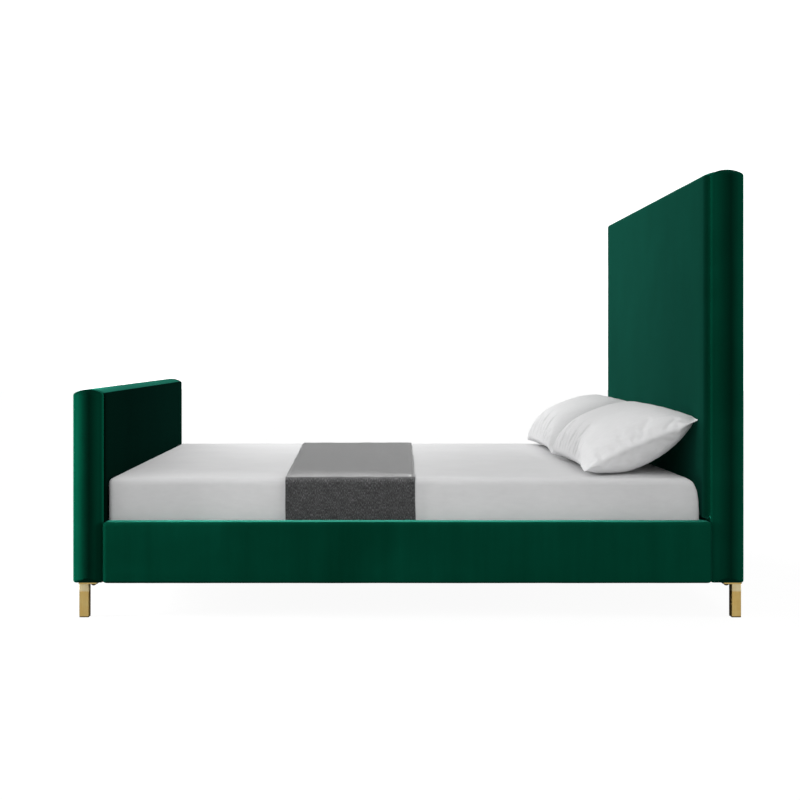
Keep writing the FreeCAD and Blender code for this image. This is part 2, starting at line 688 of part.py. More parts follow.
# ---- mattress and bedding -----------------------------------------------------------------------

def mattress_block(inset, base):
    """The mattress's outline: square at the foot, with a big soft radius at the top of the head end."""
    x0 = MATTRESS_FOOT + inset
    x1 = MATTRESS_FOOT + MATTRESS_LENGTH - inset
    half = MATTRESS_WIDTH / 2 - inset
    top = MATTRESS_TOP - inset
    block = box(x0, x1, -half, half, base, top)
    block = rounded(block, MATTRESS_HEAD_EDGE - inset, lambda p: near(p.x, x1) and near(p.z, top))
    block = rounded(block, MATTRESS_EDGE - inset, lambda p: near(p.x, x0) and near(p.z, top))
    for side in (-half, half):
        block = rounded(block, MATTRESS_EDGE - inset, lambda p: near(p.y, side) and p.z > base + 1)
    return block


def bedding():
    mattress = mattress_block(SHEET, MATTRESS_BASE)
    sheet = mattress_block(0, MATTRESS_BASE).cut(mattress)
    return {"mattress": mattress, "fitted_sheet": sheet, "throw": throw()}


def throw():
    """The throw across the bed: over the top and tucked down inside both rails."""
    inner = throw_block(SOFT_GAP)
    outer = throw_block(SOFT_GAP + THROW_THICK)
    return outer.cut(inner)


def throw_block(grow):
    """A slab under the throw's surface, grown by this much over the mattress."""
    half = MATTRESS_WIDTH / 2 + grow
    top = MATTRESS_TOP + grow
    slab = box(THROW_START, THROW_END, -half, half, THROW_HEM, top)
    for side in (-half, half):
        slab = rounded(slab, MATTRESS_EDGE + grow, lambda p: near(p.z, top) and near(p.y, side))
    return slab


def pillow(y):
    """A plump pillow, tilted up against the headboard: three outlines joined by flat faces."""
    def outline(shares, height):
        a, b = PILLOW_DEPTH * shares[0] / 2, PILLOW_LENGTH * shares[1] / 2
        return Part.makePolygon([Vector(-a, -b, height), Vector(a, -b, height), Vector(a, b, height),
                                 Vector(-a, b, height), Vector(-a, -b, height)])

    lower = outline(PILLOW_BASE_SHARE, -PILLOW_BELOW)
    waist = outline((1, 1), 0.0)
    upper = outline(PILLOW_TOP_SHARE, PILLOW_ABOVE)
    body = Part.makeLoft([lower, waist, upper], True, True)
    body.rotate(Vector(0, 0, 0), Vector(0, 1, 0), -PILLOW_TILT)
    reach = PILLOW_DEPTH / 2 * math.cos(math.radians(PILLOW_TILT))
    body.translate(Vector(HEAD_FACE - SOFT_GAP - reach, y, PILLOW_CENTRE_Z))
    return body


def pillows():
    return {"pillow_" + side: pillow(y) for side, y in PILLOW_CENTRES_Y.items()}


def main():
    os.makedirs("parts", exist_ok=True)
    boards = headboard()
    boards.update(footboard())
    pieces = bored_timber(boards)
    for build in (side_rails, rail_hardware, slats, wood_screws, centre_support, levellers, legs, bedding,
                  pillows):
        pieces.update(build())
    for name, shape in pieces.items():
        export(name, shape)
    print(len(pieces), "nodes")


main()
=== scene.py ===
"""Looks of the upholstered bed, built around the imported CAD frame. Metres, +X headboard, +Z up."""

import json
import math

import bmesh
import bpy
import numpy as np
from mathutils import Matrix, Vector, noise


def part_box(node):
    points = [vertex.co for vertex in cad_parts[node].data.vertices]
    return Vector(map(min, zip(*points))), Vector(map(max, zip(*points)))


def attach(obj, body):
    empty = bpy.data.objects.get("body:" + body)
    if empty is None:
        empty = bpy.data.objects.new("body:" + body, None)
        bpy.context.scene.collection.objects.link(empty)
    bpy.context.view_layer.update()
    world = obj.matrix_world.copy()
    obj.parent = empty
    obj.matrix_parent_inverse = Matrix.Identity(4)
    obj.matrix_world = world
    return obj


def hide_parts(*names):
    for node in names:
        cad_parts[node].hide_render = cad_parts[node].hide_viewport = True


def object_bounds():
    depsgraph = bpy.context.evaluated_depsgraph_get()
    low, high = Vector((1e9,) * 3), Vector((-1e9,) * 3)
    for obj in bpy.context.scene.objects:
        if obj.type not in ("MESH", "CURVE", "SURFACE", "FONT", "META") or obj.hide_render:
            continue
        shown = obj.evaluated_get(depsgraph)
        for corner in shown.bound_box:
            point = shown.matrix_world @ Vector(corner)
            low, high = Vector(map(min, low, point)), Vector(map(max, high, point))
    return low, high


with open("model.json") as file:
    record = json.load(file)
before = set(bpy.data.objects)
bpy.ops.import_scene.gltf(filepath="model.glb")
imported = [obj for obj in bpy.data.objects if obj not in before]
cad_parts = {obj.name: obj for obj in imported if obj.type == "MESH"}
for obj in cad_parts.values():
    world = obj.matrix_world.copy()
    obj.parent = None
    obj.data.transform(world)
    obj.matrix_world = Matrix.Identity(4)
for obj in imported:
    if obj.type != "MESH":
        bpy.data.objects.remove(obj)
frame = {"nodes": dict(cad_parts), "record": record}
cad_low, cad_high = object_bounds()

MM = 0.001

# ---- places, all from the frame ----

HEAD_END_LOW, HEAD_END_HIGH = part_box("headboard_end_cover_left")
HEAD_LOW, HEAD_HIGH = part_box("headboard_cover")
FOOT_END_LOW, FOOT_END_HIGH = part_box("footboard_end_cover_left")
FOOT_LOW, FOOT_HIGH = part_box("footboard_cover")
RAIL_LOW, RAIL_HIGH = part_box("side_rail_cover_left")
SHEET_LOW, SHEET_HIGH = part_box("fitted_sheet")
MATTRESS_LOW, MATTRESS_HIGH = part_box("mattress")
THROW_LOW, THROW_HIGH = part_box("throw")
CLOTH_LOW, CLOTH_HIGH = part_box("headboard_back_cloth")

CROWN = 15 * MM                # rise of the boards' arched tops
EDGE_RADIUS = 11 * MM
BASE_RADIUS = 9 * MM
PAD_START = RAIL_HIGH.z + 6 * MM
SEAM_DEPTH = 15 * MM           # valley where a wrap meets its end panel
SEAM_ROUND = 42 * MM
SEAM_SET_IN = 8 * MM           # the pads round into their seams this far past the stiff boards' ends
PANEL_ROUND = 20 * MM          # how far in an end panel rounds over from its edge
PANEL_CROWN = 11 * MM          # gentler rise from there to its middle line
PANEL_ENDS = 0.4               # how far its middle line stops short of its ends, over half its width
PANEL_TURN = 60                # degrees of the rounding before the crown takes over
RAIL_SEAM_DEPTH = 7 * MM       # the rails round less, and over less, than the boards
RAIL_SEAM_ROUND = 14 * MM
RISE_OVER_WOOD = 35 * MM       # a wrap stays clear of the wood to this height above it
OUTLINE_STEP = 30 * MM
TOP_ROUND = 17 * MM            # the mattress's long top edges


# ---- meshes ----

def add_mesh(name, points, faces, material, smooth=True):
    """A new piece from its points and faces."""
    mesh = bpy.data.meshes.new(name)
    mesh.from_pydata([tuple(p) for p in points], [], faces)
    mesh.update()
    piece = bpy.data.objects.new(name, mesh)
    bpy.context.scene.collection.objects.link(piece)
    mesh.materials.append(material)
    mesh.polygons.foreach_set("use_smooth", [smooth] * len(mesh.polygons))
    return piece


def outward(piece, weld=0.0):
    """Joins points closer than weld, and turns every face of a closed piece outwards."""
    shape = bmesh.new()
    shape.from_mesh(piece.data)
    if weld:
        bmesh.ops.remove_doubles(shape, verts=shape.verts, dist=weld)
        bmesh.ops.dissolve_degenerate(shape, edges=shape.edges, dist=weld)
    bmesh.ops.recalc_face_normals(shape, faces=shape.faces)
    shape.to_mesh(piece.data)
    shape.free()
    return piece


def quads(rows, columns, closed):
    """Faces of a lattice of rows by columns; closed joins the last column to the first."""
    faces = []
    for r in range(rows - 1):
        for c in range(columns if closed else columns - 1):
            d = (c + 1) % columns
            faces.append((r * columns + c, r * columns + d, (r + 1) * columns + d, (r + 1) * columns + c))
    return faces


def capped(rows, columns):
    """Faces of a closed tube of rows by columns, with a cap at each end."""
    last = (rows - 1) * columns
    return quads(rows, columns, True) + [tuple(range(columns)), tuple(range(last, last + columns))]


def steps(low, high, step):
    """Evenly spaced values from low to high, about step apart, both ends included."""
    return np.linspace(low, high, max(2, int(round((high - low) / step)) + 1))


def wave(point, size):
    """Smooth noise between -1 and 1, with features about size metres across."""
    return noise.noise(Vector(point) / size)


# ---- outlines ----

def filleted(corners, segments=6):
    """A closed outline through (a, b, radius) corners, each rounded by its radius."""
    points = []
    count = len(corners)
    for i, (a, b, radius) in enumerate(corners):
        here = np.array((a, b))
        if radius <= 0:
            points.append(here)
            continue
        back = np.array(corners[i - 1][:2]) - here
        ahead = np.array(corners[(i + 1) % count][:2]) - here
        back /= np.linalg.norm(back)
        ahead /= np.linalg.norm(ahead)
        half = math.acos(np.clip(back @ ahead, -1, 1)) / 2
        middle = (back + ahead) / np.linalg.norm(back + ahead)
        centre = here + middle * radius / math.sin(half)
        start = here + back * radius / math.tan(half) - centre
        end = here + ahead * radius / math.tan(half) - centre
        for k in range(segments + 1):
            turn = start * (1 - k / segments) + end * (k / segments)
            points.append(centre + turn / np.linalg.norm(turn) * radius)
    return np.array(points)


def divided(outline, step):
    """The closed outline with its long straight runs cut into even pieces."""
    points = []
    for here, there in zip(outline, np.roll(outline, -1, axis=0)):
        count = max(1, int(round(np.linalg.norm(there - here) / step)))
        points += [here + (there - here) * k / count for k in range(count)]
    return np.array(points)


def outline_normals(outline):
    """Outward normals of a closed outline, whichever way it runs."""
    along = np.roll(outline, -1, axis=0) - np.roll(outline, 1, axis=0)
    along /= np.linalg.norm(along, axis=1)[:, None]
    x, y = outline[:, 0], outline[:, 1]
    area = np.sum(x * np.roll(y, -1) - np.roll(x, -1) * y)
    return np.stack([along[:, 1], -along[:, 0]], axis=1) * math.copysign(1, area)


def arch(x0, x1, shoulder, crown, segments=12):
    """Corners along a crowned top edge, from (x1, shoulder) to (x0, shoulder), without its ends."""
    half = (x1 - x0) / 2
    radius = (half * half + crown * crown) / (2 * crown)
    spread = math.asin(half / radius)
    centre_z = shoulder + crown - radius
    turns = [spread * (1 - 2 * k / segments) for k in range(1, segments)]
    return [((x0 + x1) / 2 + radius * math.sin(t), centre_z + radius * math.cos(t), 0) for t in turns]


def board_outline(x0, x1, low, high):
    """An upright board's section in X and Z, with its crowned top."""
    shoulder = high - CROWN
    corners = [(x0, low, BASE_RADIUS), (x1, low, BASE_RADIUS), (x1, shoulder, EDGE_RADIUS)]
    corners += arch(x0, x1, shoulder, CROWN) + [(x0, shoulder, EDGE_RADIUS)]
    return divided(filleted(corners), OUTLINE_STEP)


def headboard_outline():
    """The headboard wrap's section: its front pad stands proud above the rails."""
    seam, face, back = HEAD_END_LOW.x, HEAD_LOW.x, HEAD_HIGH.x
    low, high = HEAD_LOW.z, HEAD_HIGH.z
    shoulder = high - CROWN
    corners = [(seam, low, BASE_RADIUS), (back, low, BASE_RADIUS), (back, shoulder, EDGE_RADIUS)]
    corners += arch(face, back, shoulder, CROWN)
    corners += [(face, shoulder, EDGE_RADIUS), (face, PAD_START, BASE_RADIUS), (seam, PAD_START, 2 * MM)]
    return divided(filleted(corners), OUTLINE_STEP)


# ---- upholstery ----

def softness(point):
    """The slight unevenness of velvet over foam, along its normal."""
    return 0.5 * MM * wave(point, 0.17) + 0.25 * MM * wave(point, 0.055)


def end_inset(distance, depth, reach):
    """How far a wrap is drawn in near its end seam."""
    if distance >= reach:
        return 0.0
    return depth * (1 - math.sqrt(1 - (1 - distance / reach) ** 2))


def seam_stations(low, high, reach, step):
    """Stations along a wrap, close together where it rounds into its seams."""
    near = [reach * (1 - math.cos(math.pi / 2 * k / 8)) for k in range(9)]
    middle = steps(low + reach, high - reach, step)[1:-1]
    return [low + d for d in near] + list(middle) + [high - d for d in reversed(near)]


def swept_pad(name, outline, low, high, place, material, depth=SEAM_DEPTH, reach=SEAM_ROUND):
    """A padded wrap: outline swept from low to high, drawn in at both ends and closed there."""
    normals = outline_normals(outline)
    stations = seam_stations(low, high, reach, 0.04)
    points = []
    for along in stations:
        inset = end_inset(min(along - low, high - along), depth, reach)
        for at, normal in zip(outline, normals):
            spot = place(along, at)
            uneven = 1 + 0.18 * wave(spot, 0.045)
            swell = softness(spot) if inset < depth / 2 else 0
            points.append(place(along, at - normal * (inset * uneven - swell)))
    return outward(add_mesh(name, points, capped(len(stations), len(outline)), material))


def end_panel(name, outline, y_seam, y_out, material):
    """A sewn-on end panel, puffed out from the seam to y_out, as loops that close on its middle line."""
    normals = outline_normals(outline)
    low, high = outline.min(axis=0), outline.max(axis=0)
    half = (high[0] - low[0]) / 2
    short = PANEL_ENDS * half
    middle = np.stack([np.full(len(outline), (low[0] + high[0]) / 2),
                       np.clip(outline[:, 1], low[1] + short, high[1] - short)], axis=1)
    side = math.copysign(1, y_out)
    rim = y_seam + side * 2 * MM
    rise = y_out - rim - side * PANEL_CROWN
    turned_in = ((11 * MM, 3 * MM), (6 * MM, 3 * MM), (2 * MM, 2 * MM), (0.4 * MM, 0.6 * MM))
    loops = [(outline - normals * inset, rim - side * back) for inset, back in turned_in]
    turns = np.radians((4, 12, 21, 31, 42, 52, PANEL_TURN))
    for turn in turns:
        edge = PANEL_ROUND * (1 - math.cos(turn)) / half
        climb = math.sin(turn) / math.sin(turns[-1])
        loops.append((outline + (middle - outline) * edge, rim + rise * climb))
    for share in (0.12, 0.26, 0.42, 0.6, 0.8, 1):
        along = edge + (1 - edge) * share
        crown = side * PANEL_CROWN * (1 - (1 - share) ** 2)
        loops.append((outline + (middle - outline) * along, rim + rise + crown))
    points = []
    for k, (loop, y) in enumerate(loops):
        for at in loop:
            spot = (at[0], y, at[1])
            slack = 2 * softness(spot) if k > len(turned_in) else 0
            points.append((at[0], y - side * abs(slack), at[1]))
    faces = quads(len(loops), len(outline), True) + [tuple(range(len(outline)))]
    return outward(add_mesh(name, points, faces, material), weld=2e-5)


def upright(along, at):
    """A place across the bed on an outline in X and Z."""
    return (at[0], along, at[1])


def lengthwise(along, at):
    """A place along the bed on an outline in Y and Z."""
    return (along, at[0], at[1])


def upholstered(piece, *nodes):
    """Says what every velvet pad rides on and stands for."""
    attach(piece, "frame")
    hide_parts(*nodes)


def held_off(piece, node, above=0.0, gap=0.8 * MM):
    """Moves a pad's points out of the stiff part it is pulled over, by the shortest way along X or Z."""
    low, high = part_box(node)
    for vertex in piece.data.vertices:
        at = vertex.co
        if not low.y - gap < at.y < high.y + gap:
            continue
        ways = ((at.x - low.x + gap, "x", -1), (high.x - at.x + gap, "x", 1),
                (at.z - low.z + gap, "z", -1), (high.z + above - at.z + gap, "z", 1))
        depth, axis, sign = min(ways)
        if depth > 0:
            setattr(at, axis, getattr(at, axis) + sign * depth)


def boards(wrap_velvet, end_velvet, painted_shade_velvet):
    """Headboard and footboard: a wrap each, with painted shade on the side that faces the head, and two end
    panels.
    """
    facing_head = 0.6          # least X of such a face's normal
    footboard_outline = board_outline(FOOT_LOW.x, FOOT_HIGH.x, FOOT_LOW.z, FOOT_HIGH.z)
    for board, section, low, high in (
        ("headboard", headboard_outline(), HEAD_END_LOW, HEAD_END_HIGH),
        ("footboard", footboard_outline, FOOT_END_LOW, FOOT_END_HIGH),
    ):
        seam = low.y - SEAM_SET_IN
        wrap = swept_pad(board + "_velvet_wrap", section, -seam, seam, upright, wrap_velvet)
        wrap.data.materials.append(painted_shade_velvet)
        # Painted shade: faces turned towards the head take a darker copy of the velvet with almost no sheen.
        for face in wrap.data.polygons:
            if face.normal.x > facing_head:
                face.material_index = 1
        for wood in ("_bolting_plank", "_stile_left", "_stile_right"):
            held_off(wrap, board + wood, above=RISE_OVER_WOOD)
        upholstered(wrap, board + "_cover", board + "_foam")
        panel_outline = board_outline(low.x, high.x, low.z, high.z)
        for side, sign in (("left", 1), ("right", -1)):
            panel = end_panel("%s_velvet_end_%s" % (board, side), panel_outline, sign * seam,
                              sign * high.y, end_velvet)
            upholstered(panel, "%s_end_cover_%s" % (board, side))


def side_rails(velvet):
    """The rails' covers, drawn in a little where they meet the boards."""
    for side, sign in (("left", 1), ("right", -1)):
        y0, y1 = sign * RAIL_LOW.y, sign * RAIL_HIGH.y
        corners = [(y0, RAIL_LOW.z, BASE_RADIUS), (y1, RAIL_LOW.z, EDGE_RADIUS),
                   (y1, RAIL_HIGH.z, EDGE_RADIUS), (y0, RAIL_HIGH.z, BASE_RADIUS)]
        outline = divided(filleted(corners), OUTLINE_STEP)
        rail = swept_pad("side_rail_velvet_" + side, outline, RAIL_LOW.x, RAIL_HIGH.x, lengthwise, velvet,
                         RAIL_SEAM_DEPTH, RAIL_SEAM_ROUND)
        held_off(rail, "side_rail_board_" + side)
        upholstered(rail, "side_rail_cover_" + side, "side_rail_foam_" + side)


def back_cloth(cloth, steel):
    """The dust cloth on the back of the headboard: a turned hem, slightly slack, and its staples."""
    hem_width = 20 * MM
    ys = steps(CLOTH_LOW.y, CLOTH_HIGH.y, 0.035)
    zs = steps(CLOTH_LOW.z, CLOTH_HIGH.z, 0.035)
    front = CLOTH_LOW.x + 0.3 * MM
    points = []
    for z in zs:
        for y in ys:
            edge = min(y - CLOTH_LOW.y, CLOTH_HIGH.y - y, z - CLOTH_LOW.z, CLOTH_HIGH.z - z)
            hem = 0.7 * MM if edge < hem_width else 0.0
            slack = 0.5 * MM * (1 + wave((0, y, z), 0.12)) * min(1, edge / 0.06)
            points.append((front + hem + slack, y, z))
    sheet = add_mesh("headboard_dust_cloth", points, quads(len(zs), len(ys), False), cloth)
    solid(sheet, 0.4 * MM)
    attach(sheet, "frame")
    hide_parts("headboard_back_cloth")
    staples(steel, front + 1.3 * MM)


def staples(steel, x):
    """A row of flat staple crowns along each edge of the dust cloth, none quite straight."""
    inset, start, spacing = 0.01, 0.02, 0.045
    half_length, half_width = 5.5 * MM, 0.6 * MM
    y0, y1 = CLOTH_LOW.y + inset, CLOTH_HIGH.y - inset
    z0, z1 = CLOTH_LOW.z + inset, CLOTH_HIGH.z - inset
    places = [(y, z, 1, 0) for z in (z0, z1) for y in steps(y0 + start, y1 - start, spacing)]
    places += [(y, z, 0, 1) for y in (y0, y1) for z in steps(z0 + start, z1 - start, spacing)]
    points, faces = [], []
    for y, z, across, up in places:
        tilt = 0.15 * wave((0, y, z), 0.02)
        along = Vector((0, across + up * tilt, up - across * tilt)).normalized()
        aside = along.cross(Vector((1, 0, 0)))
        base = len(points)
        for height, shrink in ((-0.8 * MM, 1.0), (0.15 * MM, 1.0), (0.4 * MM, 0.9)):
            for a, b in ((-1, -1), (1, -1), (1, 1), (-1, 1)):
                reach = along * (half_length * a * shrink) + aside * (half_width * b * shrink)
                points.append(Vector((x + height, y, z)) + reach)
        faces += [tuple(base + k for k in face) for face in capped(3, 4)]
    row = outward(add_mesh("dust_cloth_staples", points, faces, steel, smooth=False))
    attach(row, "frame")


def solid(sheet, thickness, offset=0):
    """Gives an open sheet its thickness: half to each side, or all inwards with offset -1."""
    thick = sheet.modifiers.new("thickness", "SOLIDIFY")
    thick.thickness = thickness
    thick.offset = offset
    applied(sheet)


def applied(piece):
    """Replaces the piece's mesh with what its modifiers make."""
    graph = bpy.context.evaluated_depsgraph_get()
    mesh = bpy.data.meshes.new_from_object(piece.evaluated_get(graph), depsgraph=graph)
    old = piece.data
    piece.modifiers.clear()
    piece.data = mesh
    bpy.data.meshes.remove(old)
    mesh.name = piece.name


# ---- brass legs ----

def leg(name, brass, painted_reflection_brass):
    """A square tube leg with eased corners, a fine groove below its collar, whose paler colour is a painted
    reflection, and an eased foot.
    """
    low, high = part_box(name)
    centre = (low + high) / 2
    half = (high.x - low.x) / 2
    corner = 2.5 * MM
    groove = 0.5 * MM
    collar = high.z - 26 * MM
    levels = [(low.z, 1.6 * MM), (low.z + 0.5 * MM, 0.6 * MM), (low.z + 1.6 * MM, 0), (collar - 0.8 * MM, 0),
              (collar - 0.5 * MM, groove), (collar + 0.1 * MM, groove), (collar + 0.4 * MM, 0), (high.z, 0)]
    points = []
    for z, inset in levels:
        h = half - inset
        square = filleted([(-h, -h, corner), (h, -h, corner), (h, h, corner), (-h, h, corner)], 4)
        points += [(centre.x + a, centre.y + b, z) for a, b in square]
    post = outward(add_mesh(name + "_brass", points, capped(len(levels), len(square)), brass))
    post.data.materials.append(painted_reflection_brass)
    for face in post.data.polygons:
        face.use_smooth = len(face.vertices) == 4
        # Painted reflection: the faces above the groove get the paler brass.
        face.material_index = int(face.center.z > collar)
    post.data.set_sharp_from_angle(angle=math.radians(25))
    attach(post, "frame")
    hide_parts(name)


# ---- mattress and fitted sheet ----

HEAD, FOOT, LEFT, RIGHT, TOP, BASE = (0, 1), (0, -1), (1, 1), (1, -1), (2, 1), (2, -1)   # (axis, side)


def eased(points, low, high, first, second, first_radius, second_radius):
    """Rounds the edge between two faces of a box of points, to a quarter of an ellipse."""
    depths = []
    for (axis, side), radius in ((first, first_radius), (second, second_radius)):
        face = (high if side > 0 else low)[axis]
        depths.append(1 - (face - points[:, axis]) * side / radius)
    u, v = depths
    inside = (u > 0) & (v > 0)
    reach = np.maximum(np.hypot(u, v), 1e-9)
    scale = np.where(inside, np.maximum(u, v) / reach, 1)
    moved = points.copy()
    for (axis, side), radius, depth in ((first, first_radius, u), (second, second_radius, v)):
        face = (high if side > 0 else low)[axis]
        moved[:, axis] = np.where(inside, face - side * radius * (1 - depth * scale), points[:, axis])
    return moved


def mattress_shape(points, low, high):
    """Rounds a box of points into the mattress's shape: softest at the top of its head end."""
    for first, second, first_radius, second_radius in (
        (HEAD, TOP, 45 * MM, 140 * MM),
        (HEAD, BASE, 18 * MM, 18 * MM),
        (FOOT, TOP, 14 * MM, 16 * MM),
        (FOOT, BASE, 12 * MM, 18 * MM),
        (LEFT, TOP, TOP_ROUND, TOP_ROUND),
        (RIGHT, TOP, TOP_ROUND, TOP_ROUND),
        (LEFT, BASE, 18 * MM, 18 * MM),
        (RIGHT, BASE, 18 * MM, 18 * MM),
        (HEAD, LEFT, 14 * MM, 14 * MM),
        (HEAD, RIGHT, 14 * MM, 14 * MM),
        (FOOT, LEFT, 10 * MM, 10 * MM),
        (FOOT, RIGHT, 10 * MM, 10 * MM),
    ):
        points = eased(points, low, high, first, second, first_radius, second_radius)
    return points


def edge_steps(low, high, step):
    """Values from low to high, about step apart, closer together near both ends."""
    zone = 0.03
    near = zone * np.linspace(0, 1, 6)
    return np.concatenate([low + near[:-1], steps(low + zone, high - zone, step), high - near[::-1][1:]])


def box_lattice(low, high, step, sides):
    """Points and faces over the named sides of a box, closer together near its edges."""
    xs, ys = edge_steps(low.x, high.x, step), edge_steps(low.y, high.y, step)
    zs = steps(low.z, high.z, 0.012)
    patches = {
        "top": (xs, ys, lambda a, b: (a, b, high.z)),
        "bottom": (xs, ys, lambda a, b: (a, b, low.z)),
        "left": (xs, zs, lambda a, b: (a, high.y, b)),
        "right": (xs, zs, lambda a, b: (a, low.y, b)),
        "head": (ys, zs, lambda a, b: (high.x, a, b)),
        "foot": (ys, zs, lambda a, b: (low.x, a, b)),
    }
    points, faces = [], []
    for side in sides:
        rows, columns, place = patches[side]
        base = len(points)
        points += [place(a, b) for a in rows for b in columns]
        faces += [tuple(base + k for k in face) for face in quads(len(rows), len(columns), False)]
    return np.array(points, float), faces


def sheet_creases(point):
    """Shallow creases of a fitted sheet, all inwards: soft over the top, drawn at its ends and hem."""
    x, y, z = point
    soft = abs(wave((x * 0.6, y, z), 0.16)) * 0.9 * MM
    near_head = np.clip((x - SHEET_HIGH.x + 0.5) / 0.5, 0, 1)
    drawn = abs(wave((x * 0.35, y * 1.4, z * 2.2), 0.05)) * 1.5 * MM * near_head
    near_foot = np.clip(1 - (x - SHEET_LOW.x) / 0.12, 0, 1)
    pleats = abs(wave((x, y * 2, z * 0.5), 0.04)) * 0.9 * MM * near_foot
    near_hem = np.clip(1 - (z - SHEET_LOW.z) / 0.05, 0, 1)
    gathers = abs(wave((x, y, z * 0.3), 0.012)) * 1.6 * MM * near_hem
    return soft + drawn + pleats + gathers


def mattress(ticking):
    """The mattress with its tape edge, a little inside its CAD box so that the sheet covers it."""
    low = MATTRESS_LOW + Vector((4, 4, 1)) * MM
    high = MATTRESS_HIGH - Vector((4, 4, 4)) * MM
    points, faces = box_lattice(low, high, 0.03, ("top", "bottom", "left", "right", "head", "foot"))
    core = outward(add_mesh("mattress_body", mattress_shape(points, low, high), faces, ticking), weld=1e-5)
    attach(core, "mattress")
    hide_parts("mattress")
    welt = tape_edge(low, high, ticking)
    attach(welt, "mattress")


def fitted_sheet(cotton):
    """The fitted sheet, open below, pulled over the mattress with its creases."""
    low, high = SHEET_LOW, SHEET_HIGH
    points, faces = box_lattice(low, high, 0.014, ("top", "left", "right", "head", "foot"))
    points = mattress_shape(points, low, high)
    sheet = outward(add_mesh("fitted_sheet_cotton", points, faces, cotton), weld=1e-5)
    sheet.data.update()
    moved = [v.co - v.normal * sheet_creases(v.co) for v in sheet.data.vertices]
    for vertex, place in zip(sheet.data.vertices, moved):
        vertex.co = place
    solid(sheet, 0.5 * MM, offset=-1)
    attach(sheet, "mattress")
    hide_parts("fitted_sheet")


def tape_edge(low, high, material):
    """The bound edge round the mattress's underside."""
    inset = 14 * MM
    corners = [(low.x + inset, low.y + inset, 30 * MM), (high.x - inset, low.y + inset, 60 * MM),
               (high.x - inset, high.y - inset, 60 * MM), (low.x + inset, high.y - inset, 30 * MM)]
    path = divided(filleted(corners, 8), 0.02)
    normals = outline_normals(path)
    points = []
    for at, normal in zip(path, normals):
        for k in range(8):
            turn = 2 * math.pi * k / 8
            out = at + normal * 5 * MM * math.cos(turn)
            points.append((out[0], out[1], low.z + 2.2 * MM + 2.2 * MM * math.sin(turn)))
    faces = [tuple(k % len(points) for k in face) for face in quads(len(path) + 1, 8, True)]
    return outward(add_mesh("mattress_tape_edge", points, faces, material))


# ---- throw ----

def throw_path(step):
    """(y, z, outward) stations of the throw's middle layer, from the right hem over to the left hem."""
    middle = 2.6 * MM
    half = THROW_HIGH.y - middle
    top = THROW_HIGH.z - middle
    radius = TOP_ROUND + middle
    hem = THROW_LOW.z
    right = [(-half, z, (0, -1, 0)) for z in steps(hem, top - radius, step)[:-1]]
    turns = [math.pi / 2 * k / 7 for k in range(8)]
    over = [(-half + radius - radius * math.cos(t), top - radius + radius * math.sin(t),
             (0, -math.cos(t), math.sin(t))) for t in turns]
    flat = [(y, top, (0, 0, 1)) for y in steps(-half + radius, half - radius, step)[1:-1]]
    left = [(-y, z, (n[0], -n[1], n[2])) for y, z, n in reversed(right + over)]
    return right + over + flat + left


def throw_columns(start, end):
    """Shares of the way across the throw, with close columns round its two hems."""
    width = end - start
    near = np.array((0, 3, 6, 9, 11, 13, 16, 22, 30)) * MM / width
    inner = np.linspace(near[-1], 1 - near[-1], 42)[1:-1]
    return np.concatenate([near, inner, 1 - near[::-1]])


def throw_relief(x, y, z, edge):
    """The throw's height over its middle layer: ripples, a stitched hem and thin edges."""
    ripple = 1.3 * MM * wave((x * 1.3, y * 0.5, z * 0.5), 0.09) + 0.5 * MM * wave((x, y, z), 0.03)
    hem = 1.0 * MM * math.exp(-((edge - 11 * MM) / (2 * MM)) ** 2)
    thin = 1.2 * MM * math.exp(-edge / (2.5 * MM))
    return ripple * min(1, edge / (20 * MM)) - hem - thin


def throw(wool):
    """The woven throw, a little askew, with uneven edges and soft ripples."""
    path = throw_path(0.012)
    points, uv = [], []
    run = 0.0
    for i, (y, z, normal) in enumerate(path):
        if i:
            run += math.dist((y, z), path[i - 1][:2])
        across = (y + THROW_HIGH.y) / (2 * THROW_HIGH.y)
        start = THROW_LOW.x + (30 - 25 * across) * MM + 3 * MM * wave((0, y, z), 0.1)
        end = THROW_HIGH.x - (51 - 45 * across) * MM + 3 * MM * wave((7, y, z), 0.1)
        for share in throw_columns(start, end):
            x = start + (end - start) * share
            edge = min(share, 1 - share) * (end - start)
            points.append(Vector((x, y, z)) + Vector(normal) * throw_relief(x, y, z, edge))
            uv.append((x - THROW_LOW.x, run))
    faces = quads(len(path), len(points) // len(path), False)
    cover = add_mesh("throw_woven", points, faces, wool)
    layer = cover.data.uv_layers.new(name="cloth")
    for loop in cover.data.loops:
        layer.data[loop.index].uv = uv[loop.vertex_index]
    solid(cover, 3.4 * MM)
    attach(cover, "throw")
    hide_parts("throw")


# ---- pillows ----

PILLOW_DEPTH, PILLOW_LENGTH = 0.442, 0.70      # seam to seam, along its slope and across the bed
PILLOW_TILT = math.radians(21.6)
PILLOW_MIDDLE = (0.813, 0.584)                 # the middle of its seam, in X and Z
PILLOW_ABOVE = (0.096, 2.3, 0.66)              # height over its seam, and two powers that set how blunt
PILLOW_BELOW = (-0.094, 2.1, 0.72)             # its section is
LEAN = 0.84                                    # the filling has settled towards the lower seam


def case_shape(along, across, layer):
    """A full pillow's surface over its flat square, from -1 to 1 each way: slope, length and height."""
    bow_long = 1 - 0.045 * (1 - across ** 4)
    bow_end = 1 - 0.024 * (1 - along ** 4)
    droop = 20 * MM * abs(across) ** 7 * ((1 - along) / 2) ** 4
    settled = 2 * ((along + 1) / 2) ** LEAN - 1
    full, inner, outer = PILLOW_ABOVE if layer > 0 else PILLOW_BELOW
    section = max(0, 1 - abs(settled) ** inner) ** outer
    ends = max(0, 1 - abs(across) ** 4.2) ** 0.56
    height = full * section * ends - droop
    return along * bow_long * PILLOW_DEPTH / 2, across * bow_end * PILLOW_LENGTH / 2, height


